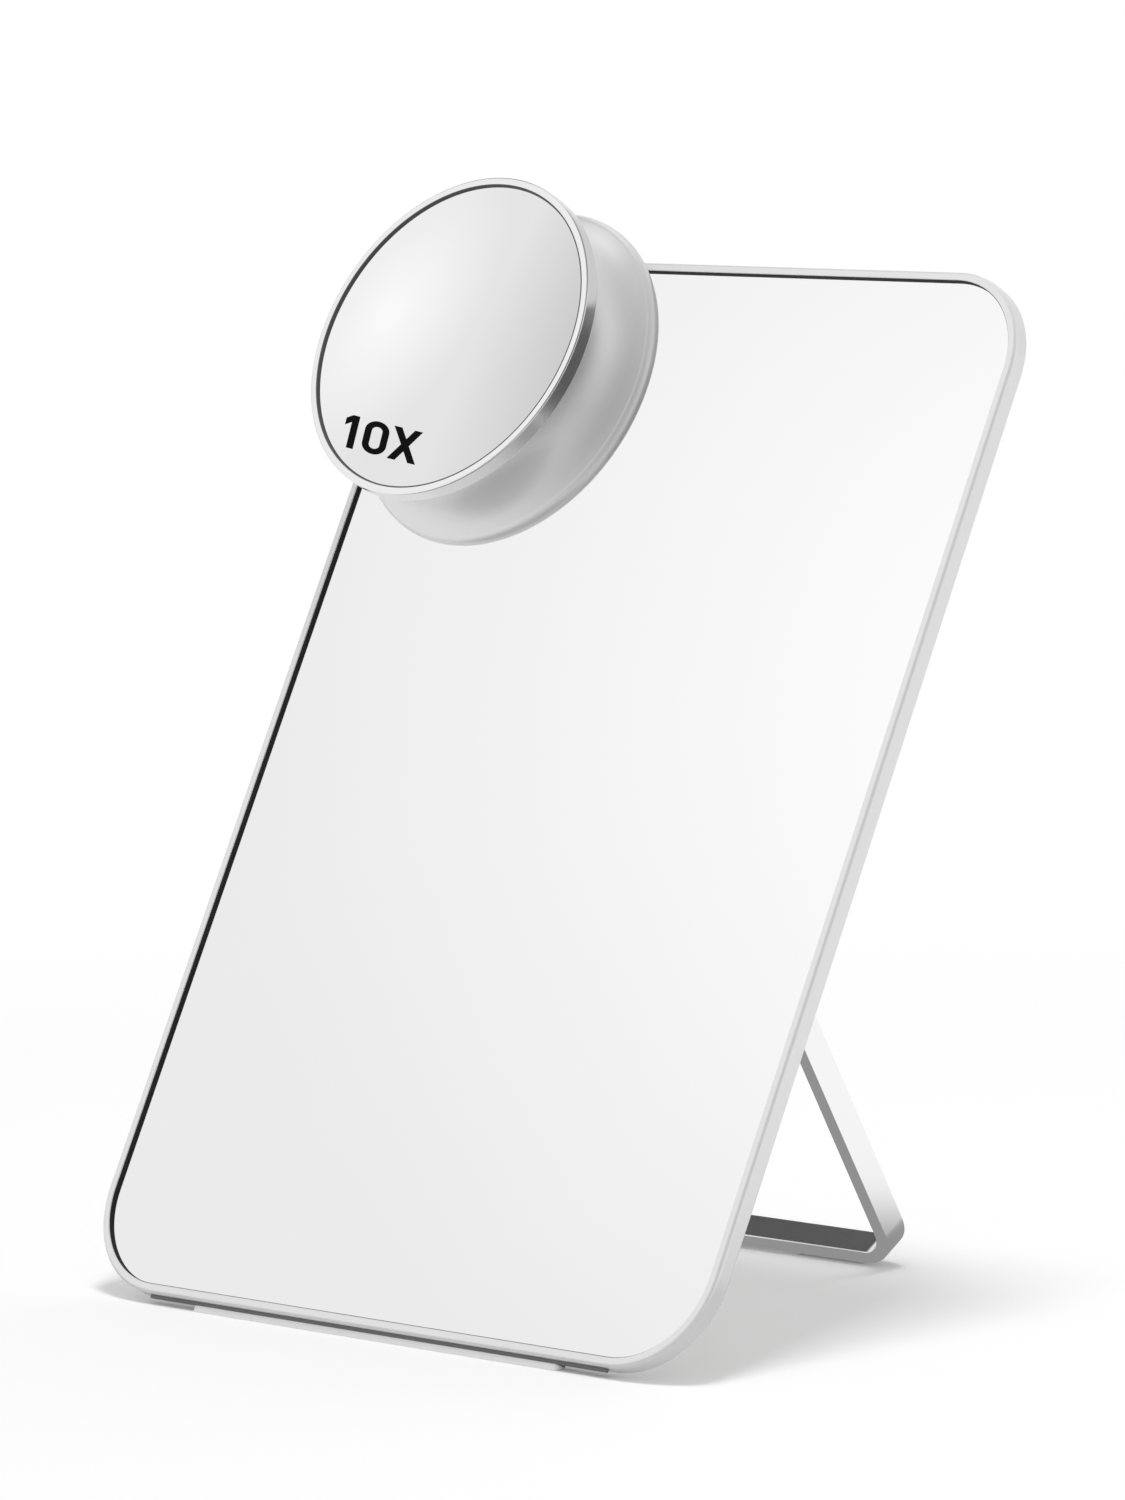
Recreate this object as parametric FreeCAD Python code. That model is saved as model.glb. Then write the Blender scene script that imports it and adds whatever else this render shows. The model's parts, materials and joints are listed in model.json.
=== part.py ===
import FreeCAD, Part
import math
import os

V = FreeCAD.Vector

# A leaning table mirror with a folding loop stand and a round magnifier held on by magnets.
# Millimetres, +Z up, +X to the mirror's right, the mirror faces -Y.
# The origin is the middle of the flat underside of the foot strip, so z = 0 is the table top.

# How it stands
lean_deg = 29.0  # the panel's lean back from upright
open_deg = 59.0  # angle between the panel and the opened stand

# Panel outline
panel_w = 200.0
panel_h = 280.0
corner_r = 25.0

# Panel layers, front to back
lip_t = 0.6
gasket_t = 0.5
glass_t = 2.0
tape_t = 0.2
steel_t = 0.4
back_t = 1.1

# Frame section
lip_w = 2.3
wall_t = 1.2
front_edge_r = 0.5
rear_edge_r = 0.8
lip_edge_r = 0.2
back_edge_chamfer = 0.3

# Clearances
fit_gap = 0.15  # slack round a piece that drops into a pocket
seat_gap = 0.05  # slack at a curved seat, or where a piece only rests on another
run_gap = 0.05  # radial clearance of a pin that turns in its bush
side_gap = 0.1  # end play beside a washer at the hinge
fold_gap = 0.4  # room between the folded stand and the back panel

# Foot strip under the frame
foot_from_corner = 15.0  # from each end to where the frame's corner starts to turn
foot_w = 2.8
foot_proud = 0.6  # how far the frame's lowest edge is held off the table

# Stand, a loop bent from flat strip
stand_w = 92.0
strip_t = 3.5
strip_w = 8.0
bend_r = 10.0
strip_edge_r = 0.4
heel_r = 1.0
hinge_up = 140.0  # hinge axis above the panel's bottom edge
stand_foot_l = 22.0
stand_foot_w = 3.0
stand_foot_inset = 0.6
stand_foot_from_bend = 2.0  # from each pad to where the strip starts to bend
stand_foot_proud = 0.5

# Hinge bar
bar_foot_h = 16.0
bar_foot_t = 1.6
bar_fillet_r = 2.0
bar_corner_r = 3.0

# Hinge pins, bushes and washers
pin_r = 2.0
pin_head_r = 3.6
pin_head_t = 1.2
pin_head_edge = 0.3
pin_shank_r = 1.5
pin_shank_l = 8.0
pin_key_across = 2.5
pin_key_depth = 0.7
bush_wall = 0.75
washer_r = 3.7
friction_washer_t = 0.5
spring_washer_t = 0.3

# Countersunk screws
screw_r = 1.0
screw_head_r = 1.9
hinge_screw_l = 6.0
hinge_screw_count = 4
hinge_screw_from_pin = 5.0  # from the end of a pin's shank to the nearest screw
base_screw_l = 7.0

# Magnifier, measured along its axis from the front of the frame's lip
mag_from_left = 44.7
mag_front = 28.5  # front of the bezel
bezel_r = 43.4
bezel_wall = 1.1
bezel_lip_w = 1.9
bezel_lip_t = 0.8
bezel_h = 4.3
bezel_front_r = 1.0
bezel_rear_chamfer = 0.5
bezel_lip_r = 0.2
mag_glass_t = 1.6
mag_glass_curve_r = 450.0
cushion_t = 0.6
cushion_w = 5.5
cushion_inset = 1.2
flange_beyond_bezel = 2.2
flange_off = 0.4  # room between the base rim and the frame's lip
bead_r = 2.4
bead_top_deg = 75.0  # where the flare leaves the bead
groove_depth = 6.6  # how far the neck is drawn in from the bezel
neck_below_bezel = 5.6
housing_wall = 2.2
housing_floor = 2.0

# Magnets and base of the magnifier
magnet_r = 7.0
magnet_t = 4.0
magnet_count = 3
magnet_pitch_r = 14.0
yoke_margin = 3.0  # yoke beyond the magnets
yoke_t = 2.0
screw_wall = 1.0  # metal between the yoke's pocket and a base screw's head
base_plate_margin = 7.0  # base plate beyond the screw heads
base_plate_t = 1.6
pad_r = 30.0
pad_from_lip = 2.2  # glass left between the pad and the frame's top lip

# Worked-out places on the panel
gasket_y = lip_t
glass_y = gasket_y + gasket_t
glass_tape_y = glass_y + glass_t
steel_y = glass_tape_y + tape_t
panel_tape_y = steel_y + steel_t
back_y = panel_tape_y + tape_t
depth = back_y + back_t
sheet_inset = wall_t + fit_gap
lean = math.radians(lean_deg)
prop_deg = open_deg - lean_deg
prop = math.radians(prop_deg)
half_strip = strip_w / 2
hinge_y = depth + fold_gap + half_strip
foot_back = depth - rear_edge_r
foot_front = foot_back - foot_w
foot_drop = depth * math.sin(lean) + foot_proud


def table_below_panel(y):
    """Height of the table top in the upright panel's frame, at distance y behind its front."""
    return (y * math.sin(lean) - foot_drop) / math.cos(lean)


foot_mid = (foot_front + foot_back) / 2
foot_mid_y = foot_mid * math.cos(lean) + table_below_panel(foot_mid) * math.sin(lean)
panel_place = FreeCAD.Placement(V(0, -foot_mid_y, foot_drop), FreeCAD.Rotation(V(1, 0, 0), -lean_deg))
hinge_point = panel_place.multVec(V(0, hinge_y, hinge_up))
stand_place = FreeCAD.Placement(hinge_point, FreeCAD.Rotation(V(1, 0, 0), prop_deg))
stand_l = (hinge_point.z - half_strip * math.sin(prop) - stand_foot_proud) / math.cos(prop)
arm_inside = stand_w / 2 - strip_t
foot_l = panel_w - 2 * (corner_r + foot_from_corner)
stand_foot_x = stand_w / 2 - bend_r - stand_foot_from_bend - stand_foot_l / 2
bush_r = pin_r + run_gap + bush_wall
bar_l = 2 * (arm_inside - side_gap - friction_washer_t)
hinge_screw_span = bar_l - 2 * (pin_shank_l + hinge_screw_from_pin)
mag_from_top = lip_w + pad_from_lip + pad_r
mag_place = FreeCAD.Placement(
    V(mag_from_left - panel_w / 2, 0, panel_h - mag_from_top), FreeCAD.Rotation(V(1, 0, 0), 90)
)

# Worked-out heights and radii of the magnifier
bezel_bore_r = bezel_r - bezel_wall
mag_glass_r = bezel_bore_r - fit_gap
mag_glass_edge = mag_front - bezel_lip_t - seat_gap
curve_centre = mag_glass_edge + math.sqrt(mag_glass_curve_r**2 - mag_glass_r**2)
glass_back_curve_r = mag_glass_curve_r + mag_glass_t
dish_curve_r = glass_back_curve_r + cushion_t + 2 * seat_gap
bezel_low = mag_front - bezel_h
flange_r = bezel_r + flange_beyond_bezel
neck_r = bezel_r - groove_depth
neck_at = bezel_low - neck_below_bezel
plate_top = flange_off + base_plate_t
yoke_low = flange_off + magnet_t
pocket_top = yoke_low + yoke_t + seat_gap
cavity_r = neck_r - housing_wall
yoke_r = magnet_pitch_r + magnet_r + yoke_margin
base_screw_pitch_r = yoke_r + fit_gap + screw_wall + screw_head_r
base_plate_r = base_screw_pitch_r + screw_head_r + base_plate_margin


def panel_slab(inset, front, back):
    """Slab with the panel's rounded outline drawn in by inset, between two depths."""
    width = panel_w - 2 * inset
    slab = Part.makeBox(width, back - front, panel_h - 2 * inset, V(-width / 2, front, inset))
    upright = [e for e in slab.Edges if abs(e.tangentAt(e.FirstParameter).y) > 0.9]
    return slab.makeFillet(corner_r - inset, upright)


def same(a, b):
    """Whether two coordinates agree to within rounding."""
    return math.isclose(a, b, abs_tol=1e-6)


def edges_at_depth(solid, y):
    """Edges of a solid that lie wholly in the plane at depth y."""
    return [e for e in solid.Edges if all(same(v.Y, y) for v in e.Vertexes)]


def polygon(points):
    """Closed flat wire through the points."""
    return Part.makePolygon(points + points[:1])


def bar_along_x(wire, length, middle=0.0):
    """Solid of the given length along X from a wire drawn in the plane X = 0."""
    solid = Part.Face(wire).extrude(V(length, 0, 0))
    solid.translate(V(middle - length / 2, 0, 0))
    return solid


def line(start, end):
    """Straight edge."""
    return Part.LineSegment(start, end).toShape()


def lines(points):
    """Straight edges from each point to the next."""
    return [line(a, b) for a, b in zip(points, points[1:])]


def arc(start, via, end):
    """Round edge through three points."""
    return Part.Arc(start, via, end).toShape()


def turned(edges):
    """Solid turned about Z from an outline drawn in the plane Y = 0."""
    return Part.Face(Part.Wire(edges)).revolve(V(0, 0, 0), V(0, 0, 1), 360)


def turned_polygon(points):
    """Solid turned about Z from radius and height pairs."""
    return Part.Face(polygon([V(r, 0, z) for r, z in points])).revolve(V(0, 0, 0), V(0, 0, 1), 360)


def countersunk(length, slack=0.0):
    """Countersunk screw along +Z with its head's flat at 0, or the hole for it when slack is given."""
    cone = screw_head_r - screw_r
    return turned_polygon(
        [
            (0, 0),
            (screw_head_r + slack, 0),
            (screw_r + slack, cone),
            (screw_r + slack, length + slack),
            (0, length + slack),
        ]
    )


def ring(outer_r, inner_r, low, high):
    """Flat ring about Z between two heights."""
    outer = Part.makeCylinder(outer_r, high - low, V(0, 0, low))
    return outer.cut(Part.makeCylinder(inner_r, high - low, V(0, 0, low)))


def along_x(shape, side):
    """Turn a shape made along +Z so that it points out along X on one side, -1 or +1."""
    turned_shape = shape.copy()
    turned_shape.rotate(V(0, 0, 0), V(0, 1, 0), 90 * side)
    return turned_shape


def on_circle(shape, count, pitch_r, start_deg):
    """Copies of a shape spread evenly on a circle about Z."""
    copies = []
    for i in range(count):
        copy = shape.copy()
        copy.translate(V(pitch_r, 0, 0))
        copy.rotate(V(0, 0, 0), V(0, 0, 1), start_deg + 360 * i / count)
        copies.append(copy)
    return copies


def front_frame():
    """Rounded frame with a front lip that covers the edge of the glass."""
    solid = panel_slab(0, 0, depth)
    solid = solid.makeFillet(front_edge_r, edges_at_depth(solid, 0))
    solid = solid.makeFillet(rear_edge_r, edges_at_depth(solid, depth))
    solid = solid.cut(panel_slab(lip_w, 0, depth))
    lip_face = [f for f in solid.Faces if same(f.BoundBox.YMax, 0)][0]
    lip_edges = [e for w in lip_face.Wires if not w.isSame(lip_face.OuterWire) for e in w.Edges]
    solid = solid.makeFillet(lip_edge_r, lip_edges)
    return solid.cut(panel_slab(wall_t, lip_t, depth))


def glass_gasket():
    """Dark ring between the lip and the glass."""
    return panel_slab(sheet_inset, gasket_y, glass_y).cut(panel_slab(lip_w, gasket_y, glass_y))


def hinge_screw_set(slack=0.0):
    """The hinge bar's screws, or the holes for them."""
    screws = []
    for i in range(hinge_screw_count):
        screw = countersunk(hinge_screw_l, slack)
        screw.rotate(V(0, 0, 0), V(1, 0, 0), -90)
        screw.translate(V((i / (hinge_screw_count - 1) - 0.5) * hinge_screw_span, back_y, hinge_up))
        screws.append(screw)
    return screws


def back_panel():
    """Plate that closes the frame, countersunk from inside for the hinge bar's screws."""
    solid = panel_slab(sheet_inset, back_y, depth)
    solid = solid.makeChamfer(back_edge_chamfer, edges_at_depth(solid, depth))
    return solid.cut(Part.makeCompound(hinge_screw_set(seat_gap)))


def hinge_bar():
    """Bar with a flat foot and a rounded barrel, drilled for the pins and the screws."""
    foot_top = depth + bar_foot_t
    foot_half = bar_foot_h / 2
    root = foot_top + bar_fillet_r
    corner = bar_fillet_r * (1 - math.sqrt(0.5))
    foot_in = half_strip + bar_fillet_r
    via = half_strip + corner
    low = [
        V(0, depth, -foot_half),
        V(0, foot_top, -foot_half),
        V(0, foot_top, -foot_in),
    ]
    high = [
        V(0, foot_top, foot_in),
        V(0, foot_top, foot_half),
        V(0, depth, foot_half),
        low[0],
    ]
    edges = lines(low)
    edges.append(arc(low[-1], V(0, foot_top + corner, -via), V(0, root, -half_strip)))
    edges.append(line(V(0, root, -half_strip), V(0, hinge_y, -half_strip)))
    edges.append(arc(V(0, hinge_y, -half_strip), V(0, hinge_y + half_strip, 0), V(0, hinge_y, half_strip)))
    edges.append(line(V(0, hinge_y, half_strip), V(0, root, half_strip)))
    edges.append(arc(V(0, root, half_strip), V(0, foot_top + corner, via), high[0]))
    edges += lines(high)
    solid = bar_along_x(Part.Wire(edges), bar_l)
    end_edges = [e for e in solid.Edges if same(abs(e.CenterOfMass.x), bar_l / 2)]
    solid = solid.makeFillet(bar_corner_r, [e for e in end_edges if same(abs(e.CenterOfMass.z), foot_half)])
    solid.translate(V(0, 0, hinge_up))
    bores = []
    for side in (-1, 1):
        bore = along_x(Part.makeCylinder(pin_shank_r + seat_gap, pin_shank_l + seat_gap), -side)
        bore.translate(V(side * bar_l / 2, hinge_y, hinge_up))
        bores.append(bore)
    return solid.cut(Part.makeCompound(bores + hinge_screw_set(seat_gap)))


def pivot_pin():
    """Shoulder pin along +Z with the hinge bar's end face at 0: shank below, shoulder and head above."""
    shoulder = friction_washer_t + strip_t + 3 * side_gap + spring_washer_t
    top = shoulder + pin_head_t
    solid = turned_polygon(
        [
            (0, -pin_shank_l),
            (pin_shank_r, -pin_shank_l),
            (pin_shank_r, 0),
            (pin_r, 0),
            (pin_r, shoulder),
            (pin_head_r, shoulder),
            (pin_head_r, top - pin_head_edge),
            (pin_head_r - pin_head_edge, top),
            (0, top),
        ]
    )
    key_r = pin_key_across / math.sqrt(3)
    key_points = [
        V(key_r * math.cos(math.radians(60 * i)), key_r * math.sin(math.radians(60 * i)), top - pin_key_depth)
        for i in range(6)
    ]
    return solid.cut(Part.Face(polygon(key_points)).extrude(V(0, 0, pin_key_depth)))


def spring_washer():
    """Thin dished washer under a pin's head, its rim towards the arm."""
    low = friction_washer_t + strip_t + 2 * side_gap
    inner = pin_r + run_gap
    half_t = spring_washer_t / 2
    return turned_polygon(
        [
            (inner, low + half_t),
            (washer_r, low),
            (washer_r, low + half_t),
            (inner, low + spring_washer_t),
        ]
    )


def at_hinge_ends(shape):
    """One copy of a shape made along +Z at each end of the hinge bar."""
    copies = []
    for side in (-1, 1):
        copy = along_x(shape, side)
        copy.translate(V(side * bar_l / 2, hinge_y, hinge_up))
        copies.append(copy)
    return Part.makeCompound(copies)


def foot_strip():
    """Soft strip under the frame, cut flat where it meets the table."""
    outline = [
        V(0, foot_front, 0),
        V(0, foot_back, 0),
        V(0, foot_back, table_below_panel(foot_back)),
        V(0, foot_front, table_below_panel(foot_front)),
    ]
    return bar_along_x(polygon(outline), foot_l)


def stand_loop():
    """U-shaped loop of strip whose arms end in a heel that meets the back panel when it is open."""
    open_angle = math.radians(open_deg)
    rise = half_strip * (1 + math.cos(open_angle)) / math.sin(open_angle)
    heel_z = half_strip * math.sin(open_angle) + rise * math.cos(open_angle)

    def round_box(half_w, half_d, low, radius):
        """Tall box whose two lower edges across the strip are rounded."""
        box = Part.makeBox(2 * half_w, 2 * half_d, 2 * heel_z - low, V(-half_w, -half_d, low))
        low_edges = [e for e in box.Edges if same(e.CenterOfMass.z, low)]
        return box.makeFillet(radius, [e for e in low_edges if same(e.CenterOfMass.y, 0)])

    solid = round_box(stand_w / 2, half_strip, -stand_l, bend_r)
    solid = solid.cut(round_box(arm_inside, strip_w, strip_t - stand_l, bend_r - strip_t))
    rims = edges_at_depth(solid, -half_strip) + edges_at_depth(solid, half_strip)
    solid = solid.makeFillet(strip_edge_r, [e for e in rims if e.BoundBox.ZMin < heel_z])

    below = -stand_l - strip_t
    touch = V(0, -half_strip * math.cos(open_angle), half_strip * math.sin(open_angle))
    via = V(0, -half_strip * math.cos(open_angle / 2), half_strip * math.sin(open_angle / 2))
    heel = V(0, half_strip, heel_z)
    front_low = V(0, -half_strip, below)
    front_top = V(0, -half_strip, 0)
    side_edges = [line(front_low, front_top), arc(front_top, via, touch)]
    side_edges += lines([touch, heel, V(0, half_strip, below), front_low])
    side = bar_along_x(Part.Wire(side_edges), 2 * stand_w)
    top_edges = [e for e in side.Edges if same(e.CenterOfMass.z, heel_z)]
    solid = solid.common(side.makeFillet(heel_r, top_edges))
    hole = Part.makeCylinder(bush_r, 2 * stand_w, V(-stand_w, 0, 0), V(1, 0, 0))
    return solid.cut(hole)


def pivot_bushes():
    """Plain bushes set flush in the stand's arms."""
    bush = ring(bush_r - seat_gap, pin_r + run_gap, arm_inside, stand_w / 2)
    return Part.makeCompound([along_x(bush, -1), along_x(bush, 1)])


def stand_feet():
    """Soft pads on the crossbar, cut flat where they meet the table."""
    front = stand_foot_inset - half_strip
    back = front + stand_foot_w

    def table_below_stand(y):
        return -(hinge_point.z + y * math.sin(prop)) / math.cos(prop)

    outline = [
        V(0, front, -stand_l),
        V(0, back, -stand_l),
        V(0, back, table_below_stand(back)),
        V(0, front, table_below_stand(front)),
    ]
    pads = [bar_along_x(polygon(outline), stand_foot_l, side * stand_foot_x) for side in (-1, 1)]
    return Part.makeCompound(pads)


def on_curve(radius, r):
    """Height at radius r of a hollow surface with the small mirror's centre of curvature."""
    return curve_centre - math.sqrt(radius**2 - r**2)


def curve_edge(radius, start_r, end_r):
    """Round edge of such a surface between two radii."""
    mid_r = (start_r + end_r) / 2
    points = [V(r, 0, on_curve(radius, r)) for r in (start_r, mid_r, end_r)]
    return arc(*points)


def magnifier_bezel():
    """Turned ring whose lip holds the small mirror."""
    lip_r = bezel_r - bezel_lip_w
    lip_low = mag_front - bezel_lip_t
    round_low = mag_front - bezel_front_r
    corner = bezel_front_r * math.sqrt(0.5)
    lip_corner = bezel_lip_r * (1 - math.sqrt(0.5))
    lip_round_r = lip_r + bezel_lip_r
    outline = [
        V(bezel_bore_r, 0, bezel_low),
        V(bezel_r - bezel_rear_chamfer, 0, bezel_low),
        V(bezel_r, 0, bezel_low + bezel_rear_chamfer),
        V(bezel_r, 0, round_low),
    ]
    inner = [
        V(lip_r, 0, mag_front - bezel_lip_r),
        V(lip_r, 0, lip_low),
        V(bezel_bore_r, 0, lip_low),
        outline[0],
    ]
    shoulder = V(bezel_r - bezel_front_r, 0, mag_front)
    shoulder_via = V(bezel_r - bezel_front_r + corner, 0, round_low + corner)
    lip_via = V(lip_r + lip_corner, 0, mag_front - lip_corner)
    edges = lines(outline)
    edges.append(arc(outline[-1], shoulder_via, shoulder))
    edges.append(line(shoulder, V(lip_round_r, 0, mag_front)))
    edges.append(arc(V(lip_round_r, 0, mag_front), lip_via, inner[0]))
    return turned(edges + lines(inner))


def magnifier_glass():
    """Hollow round mirror of even thickness."""
    front_rim = V(mag_glass_r, 0, on_curve(mag_glass_curve_r, mag_glass_r))
    back_rim = V(mag_glass_r, 0, on_curve(glass_back_curve_r, mag_glass_r))
    front_mid = V(0, 0, on_curve(mag_glass_curve_r, 0))
    back_mid = V(0, 0, on_curve(glass_back_curve_r, 0))
    return turned(
        [
            curve_edge(mag_glass_curve_r, 0, mag_glass_r),
            line(front_rim, back_rim),
            curve_edge(glass_back_curve_r, mag_glass_r, 0),
            line(back_mid, front_mid),
        ]
    )


def glass_cushion():
    """Foam ring between the small mirror's back and the housing's rim."""
    outer_r = mag_glass_r - cushion_inset
    inner_r = outer_r - cushion_w
    top_r = glass_back_curve_r + seat_gap
    low_r = top_r + cushion_t
    return turned(
        [
            curve_edge(top_r, inner_r, outer_r),
            line(V(outer_r, 0, on_curve(top_r, outer_r)), V(outer_r, 0, on_curve(low_r, outer_r))),
            curve_edge(low_r, outer_r, inner_r),
            line(V(inner_r, 0, on_curve(low_r, inner_r)), V(inner_r, 0, on_curve(top_r, inner_r))),
        ]
    )


def magnifier_housing():
    """Waisted body: beaded base rim, flare to the neck, flare to the bezel, hollow behind the mirror."""
    bead_mid = V(flange_r - bead_r, 0, flange_off + bead_r)
    bead_top = math.radians(bead_top_deg)
    bead_end = bead_mid + V(bead_r * math.cos(bead_top), 0, bead_r * math.sin(bead_top))
    neck = V(neck_r, 0, neck_at)
    rim_low = V(mag_glass_r, 0, bezel_low)
    pocket_r = yoke_r + fit_gap
    plate_r = base_plate_r + fit_gap
    cavity_low = pocket_top + housing_floor

    def flare(end):
        """Round edge from the neck, where it runs along the axis, out to an end point."""
        run = end.x - neck.x
        rise = end.z - neck.z
        radius = (run**2 + rise**2) / (2 * run)
        half_turn = math.atan2(abs(rise), radius - run) / 2
        way = math.copysign(1, rise)
        via = neck + V(radius * (1 - math.cos(half_turn)), 0, way * radius * math.sin(half_turn))
        return arc(neck, via, end)

    lower = [
        V(plate_r, 0, flange_off),
        V(bead_mid.x, 0, flange_off),
    ]
    upper = [
        V(cavity_r, 0, on_curve(dish_curve_r, cavity_r)),
        V(cavity_r, 0, cavity_low),
        V(0, 0, cavity_low),
        V(0, 0, pocket_top),
        V(pocket_r, 0, pocket_top),
        V(pocket_r, 0, plate_top),
        V(plate_r, 0, plate_top),
        lower[0],
    ]
    edges = [
        line(*lower),
        arc(lower[1], bead_mid + V(bead_r, 0, 0), bead_end),
        flare(bead_end),
        flare(rim_low),
        line(rim_low, V(mag_glass_r, 0, on_curve(dish_curve_r, mag_glass_r))),
        curve_edge(dish_curve_r, mag_glass_r, cavity_r),
    ]
    return turned(edges + lines(upper)).cut(Part.makeCompound(base_screw_set(seat_gap)))


def base_screw_set(slack=0.0):
    """The base plate's screws, or the holes for them, midway between the magnets."""
    screw = countersunk(base_screw_l, slack)
    screw.translate(V(0, 0, flange_off))
    return on_circle(screw, magnet_count, base_screw_pitch_r, 90 + 180 / magnet_count)


def magnet_set(slack=0.0):
    """The disc magnets, or the holes for them."""
    magnet = Part.makeCylinder(magnet_r + slack, magnet_t, V(0, 0, flange_off))
    return on_circle(magnet, magnet_count, magnet_pitch_r, 90)


def base_plate():
    """Round plate with a hole for each magnet and each screw."""
    solid = Part.makeCylinder(base_plate_r, base_plate_t, V(0, 0, flange_off))
    return solid.cut(Part.makeCompound(magnet_set(fit_gap) + base_screw_set(seat_gap)))


def contact_pad():
    """Soft disc under the base plate that lies on the big glass."""
    low = seat_gap - glass_y
    return Part.makeCylinder(pad_r, flange_off - low, V(0, 0, low))


panel_pieces = {
    "front_frame": front_frame(),
    "glass_gasket": glass_gasket(),
    "mirror_glass": panel_slab(sheet_inset, glass_y, glass_tape_y),
    "glass_tape": panel_slab(sheet_inset, glass_tape_y, steel_y),
    "steel_backing": panel_slab(sheet_inset, steel_y, panel_tape_y),
    "panel_tape": panel_slab(sheet_inset, panel_tape_y, back_y),
    "back_panel": back_panel(),
    "hinge_bar": hinge_bar(),
    "hinge_screws": Part.makeCompound(hinge_screw_set()),
    "pivot_pins": at_hinge_ends(pivot_pin()),
    "friction_washers": at_hinge_ends(ring(washer_r, pin_r + run_gap, 0, friction_washer_t)),
    "spring_washers": at_hinge_ends(spring_washer()),
    "foot_strip": foot_strip(),
}
stand_pieces = {
    "stand_loop": stand_loop(),
    "pivot_bushes": pivot_bushes(),
    "stand_feet": stand_feet(),
}
magnifier_pieces = {
    "magnifier_bezel": magnifier_bezel(),
    "magnifier_glass": magnifier_glass(),
    "glass_cushion": glass_cushion(),
    "magnifier_housing": magnifier_housing(),
    "magnet_yoke": Part.makeCylinder(yoke_r, yoke_t, V(0, 0, yoke_low)),
    "magnets": Part.makeCompound(magnet_set()),
    "base_plate": base_plate(),
    "base_screws": Part.makeCompound(base_screw_set()),
    "contact_pad": contact_pad(),
}

os.makedirs("parts", exist_ok=True)
for pieces, place in (
    (panel_pieces, panel_place),
    (stand_pieces, stand_place),
    (magnifier_pieces, panel_place.multiply(mag_place)),
):
    for name, shape in pieces.items():
        shape.transformShape(place.toMatrix())
        shape.exportStep(f"parts/{name}.step")
print(f"{len(panel_pieces) + len(stand_pieces) + len(magnifier_pieces)} nodes, stand {stand_l:.1f} mm long")
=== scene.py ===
"""Looks of a leaning table mirror with a folding loop stand and a round magnifier on magnets.

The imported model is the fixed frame. Pieces are modelled here in millimetres, each in the upright
frame of its own sub-assembly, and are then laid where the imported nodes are. Nodes that keep their
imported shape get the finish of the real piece.
"""

import json
import logging
import math
from collections.abc import Callable, Sequence
from dataclasses import dataclass
from enum import Enum
from functools import partial

import bpy
from bpy.types import Material, Node, NodeSocket, NodeTree, Object, World
from mathutils import Matrix, Vector


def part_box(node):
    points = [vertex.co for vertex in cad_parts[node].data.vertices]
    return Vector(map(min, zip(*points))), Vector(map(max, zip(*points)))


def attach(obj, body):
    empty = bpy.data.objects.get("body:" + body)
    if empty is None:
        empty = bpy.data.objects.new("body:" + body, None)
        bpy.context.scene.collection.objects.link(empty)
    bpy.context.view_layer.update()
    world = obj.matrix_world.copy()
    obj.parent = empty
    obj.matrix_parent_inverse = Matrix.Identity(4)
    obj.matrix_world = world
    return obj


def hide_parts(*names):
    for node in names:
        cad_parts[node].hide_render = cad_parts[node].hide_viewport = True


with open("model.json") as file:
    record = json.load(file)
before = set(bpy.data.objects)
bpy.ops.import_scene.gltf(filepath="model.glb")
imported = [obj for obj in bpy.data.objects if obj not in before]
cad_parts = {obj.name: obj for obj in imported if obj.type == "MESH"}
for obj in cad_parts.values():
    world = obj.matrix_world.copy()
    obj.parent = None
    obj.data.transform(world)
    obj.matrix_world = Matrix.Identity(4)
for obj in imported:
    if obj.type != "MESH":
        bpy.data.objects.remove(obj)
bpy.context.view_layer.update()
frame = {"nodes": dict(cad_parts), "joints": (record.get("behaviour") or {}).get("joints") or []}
joints = {joint["name"]: joint for joint in frame["joints"]}

MM = 0.001
SAME_PLACE = 0.001  # two points closer than this, in millimetres, are one
LATHE_STEPS = 192  # straight pieces round a turned piece
CORNER_STEPS = 24  # across a large corner of the panel
EDGE_STEPS = 5  # across the rounding of an edge
FINE_STEPS = 3  # across a small rounding
ARRIS_STEPS = 2  # across a ground arris
FACE_WEIGHT = 90  # how far the larger faces set the shading beside an edge
WHITE = (1.0, 1.0, 1.0, 1.0)
SHARE, FIRST, SECOND, MIXED = 0, 6, 7, 2  # sockets of a Mix node for colours
WAVE_RATE = 20.0  # radians per metre of a wave texture at a scale of one
TURNING_MARKS = {"Distortion": 1.5, "Detail": 2.0, "Detail Scale": 0.5}  # how unevenly they run
DRIFT_DETAIL, GRAIN_DETAIL = 3.0, 4.0  # finer layers of noise in each

Triple = tuple[float, float, float]
Row = tuple[float, ...]  # corner of a section: its two coordinates, then its setback and steps

log = logging.getLogger("makeup_mirror")


class Part(Enum):
    """What a selection is made of, by the name that edit mode gives it."""

    POINTS = "VERT"
    EDGES = "EDGE"
    FACES = "FACE"


class Grain(Enum):
    """How the fine relief of a surface runs."""

    SPECKLED = "speckled"
    BRUSHED = "brushed"
    TURNED = "turned"


@dataclass(frozen=True)
class Corner:
    """A corner of an outline and how it is rounded.

    Attributes:
        place: Where the corner is before it is rounded, in millimetres.
        setback: How far along its two edges the rounding starts: its radius at a right angle.
        steps: Straight pieces in the rounding.
    """

    place: Triple
    setback: float = 0.0
    steps: int = EDGE_STEPS


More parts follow.
